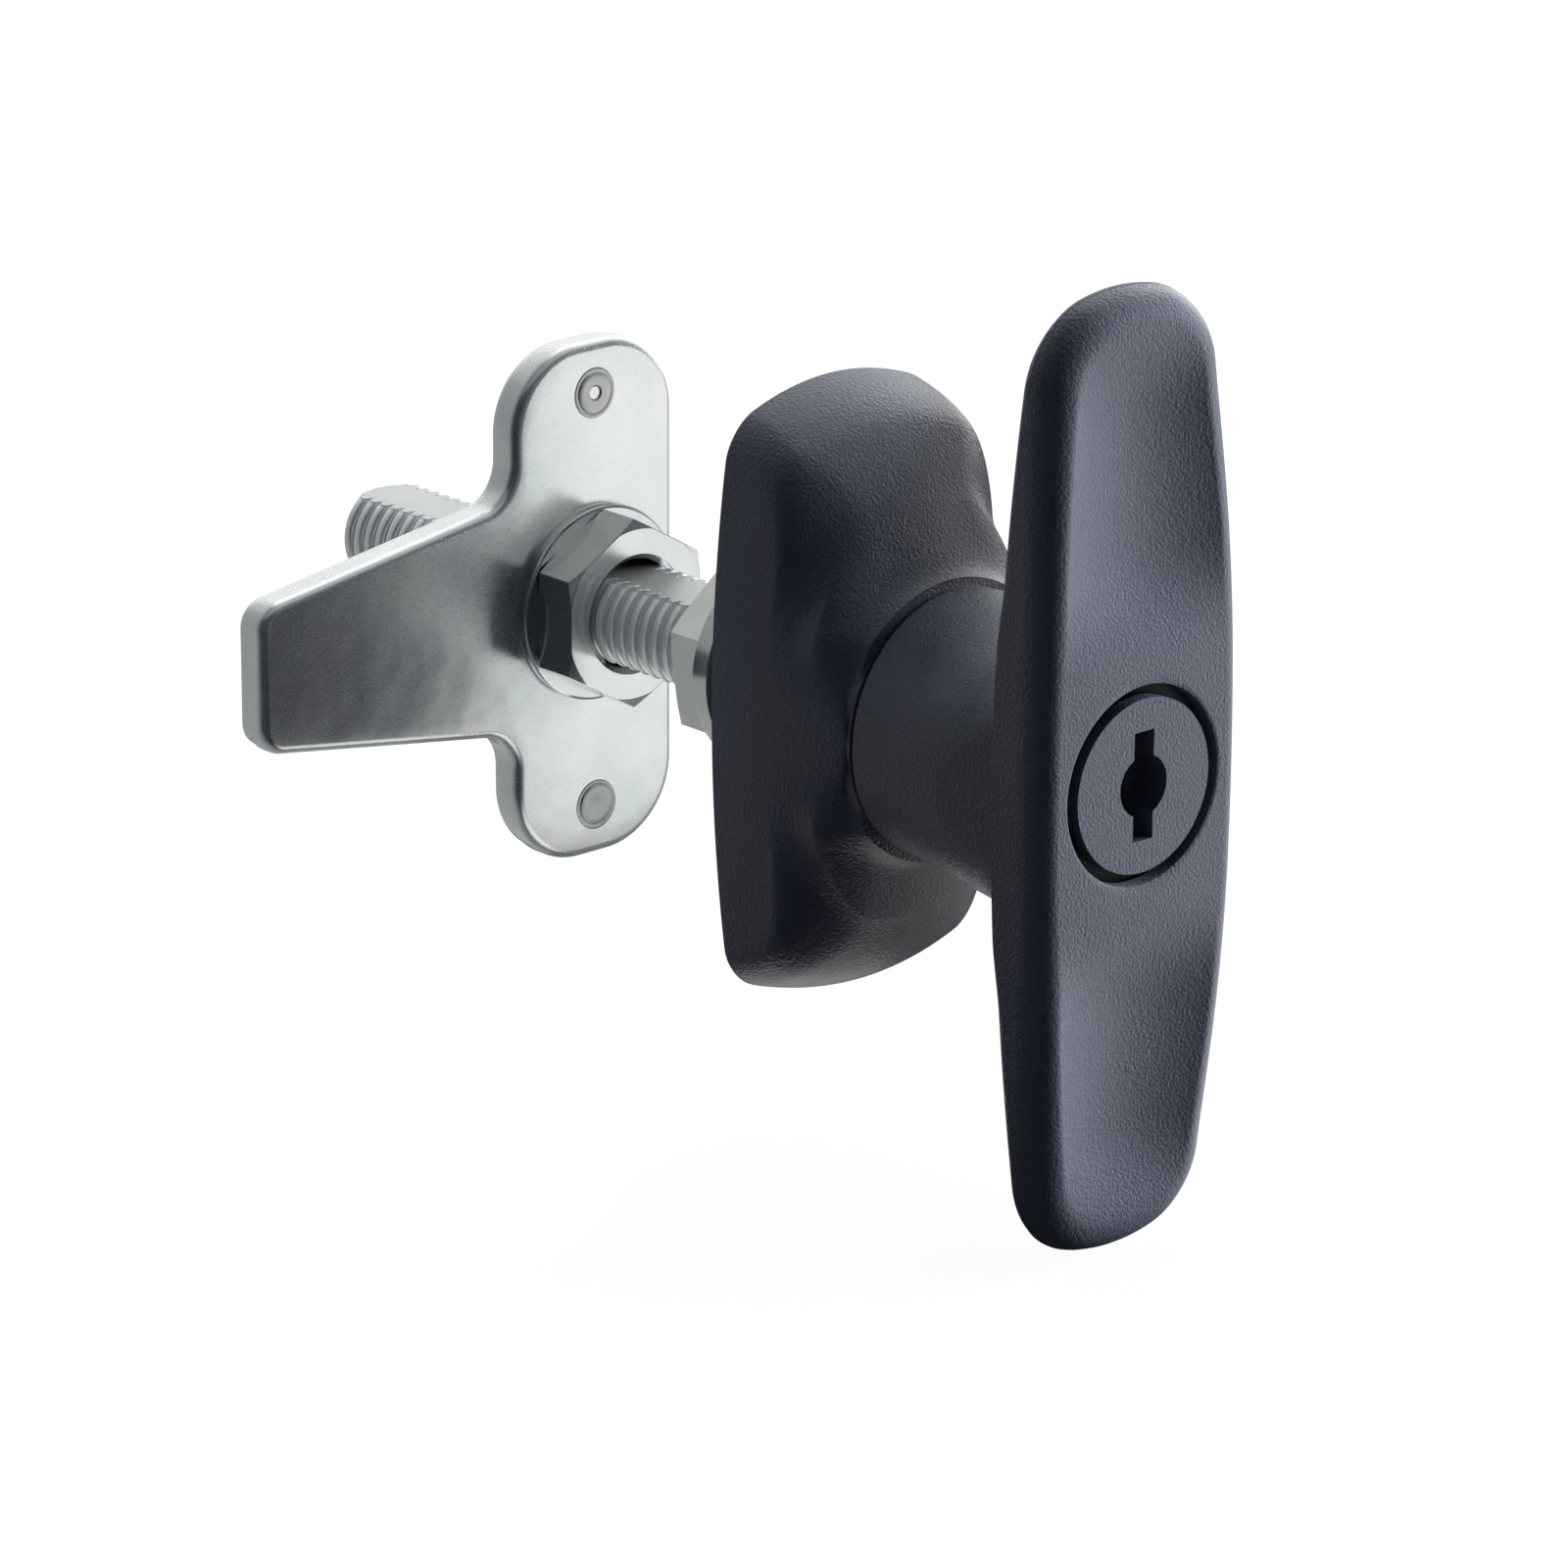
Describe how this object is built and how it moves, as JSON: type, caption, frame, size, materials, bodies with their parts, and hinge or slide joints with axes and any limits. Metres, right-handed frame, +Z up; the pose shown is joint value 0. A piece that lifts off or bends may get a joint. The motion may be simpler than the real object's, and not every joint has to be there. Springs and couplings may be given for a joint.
{
  "type": "cabinet handle lock",
  "caption": "Black T-handle lock for a cabinet door: key lock in the neck, domed rosette, and a threaded spindle with a lobed latch plate that moves locking rods.",
  "frame": {"origin": "on the spindle's axis, at the door face of the rosette", "axes": "+Y along the spindle into the cabinet, +Z up along the handle bar at rest, +X to the right seen from outside; the latch plate's arm points to -X"},
  "size_m": [0.0611, 0.1189, 0.0994],
  "materials": {
    "black_powder_coat": "fine-textured matt powder coat",
    "zinc_plated_steel": "bright zinc plating",
    "zinc_plated_plate": "cloudy zinc plating on pressed steel",
    "bare_steel": "ground",
    "zinc_casting": "as cast",
    "brass": "stamped",
    "nylon": "moulded",
    "black_rubber": "matt"
  },
  "bodies": {
    "rosette_body": {"rosette": "black_powder_coat", "rear_seal": "black_rubber", "spindle_bush": "nylon"},
    "handle_body": {"t_handle": "black_powder_coat", "lock_barrel": "zinc_casting", "barrel_turn_pin": "bare_steel", "stop_pin": "bare_steel", "detent_spring": "bare_steel", "seal_ring": "black_rubber", "spindle": "zinc_plated_steel", "cross_pin": "bare_steel", "flat_washer": "zinc_plated_steel", "spring_washer": "zinc_plated_steel", "spindle_nut": "zinc_plated_steel", "collar_nut": "zinc_plated_steel", "latch_plate": "zinc_plated_plate", "upper_rod_pin": "zinc_plated_plate", "lower_rod_pin": "zinc_plated_plate", "toothed_washer": "zinc_plated_steel", "rear_lock_nut": "zinc_plated_steel"},
    "ball_body": {"detent_ball": "bare_steel"},
    "plug_body": {"key_plug": "black_powder_coat", "plug_clip": "bare_steel"},
    "wafer_body": {"plug_wafers": "brass"},
    "bolt_body": {"lock_bolt": "bare_steel"}
  },
  "joints": [
    {"name": "handle_turn", "type": "hinge", "parent": "rosette_body", "child": "handle_body", "pos_m": [0, 0, 0], "axis": [0, 1, 0], "range_deg": [0, 90]},
    {"name": "key_turn", "type": "hinge", "parent": "handle_body", "child": "plug_body", "pos_m": [0, 0, 0], "axis": [0, 1, 0], "range_deg": [0, 90]},
    {"name": "bolt_slide", "type": "slide", "parent": "handle_body", "child": "bolt_body", "axis": [0, 0, -1], "range_m": [0, 0.00368]},
    {"name": "wafer_lift", "type": "slide", "parent": "plug_body", "child": "wafer_body", "axis": [0, 0, 1], "range_m": [0, 0.0008]},
    {"name": "detent_click", "type": "slide", "parent": "handle_body", "child": "ball_body", "axis": [0, 1, 0], "range_m": [0, 0.00025]}
  ],
  "couplings": [
    {"joint": "bolt_slide", "follows": "key_turn", "m_per_rad": 0.0023405}
  ]
}
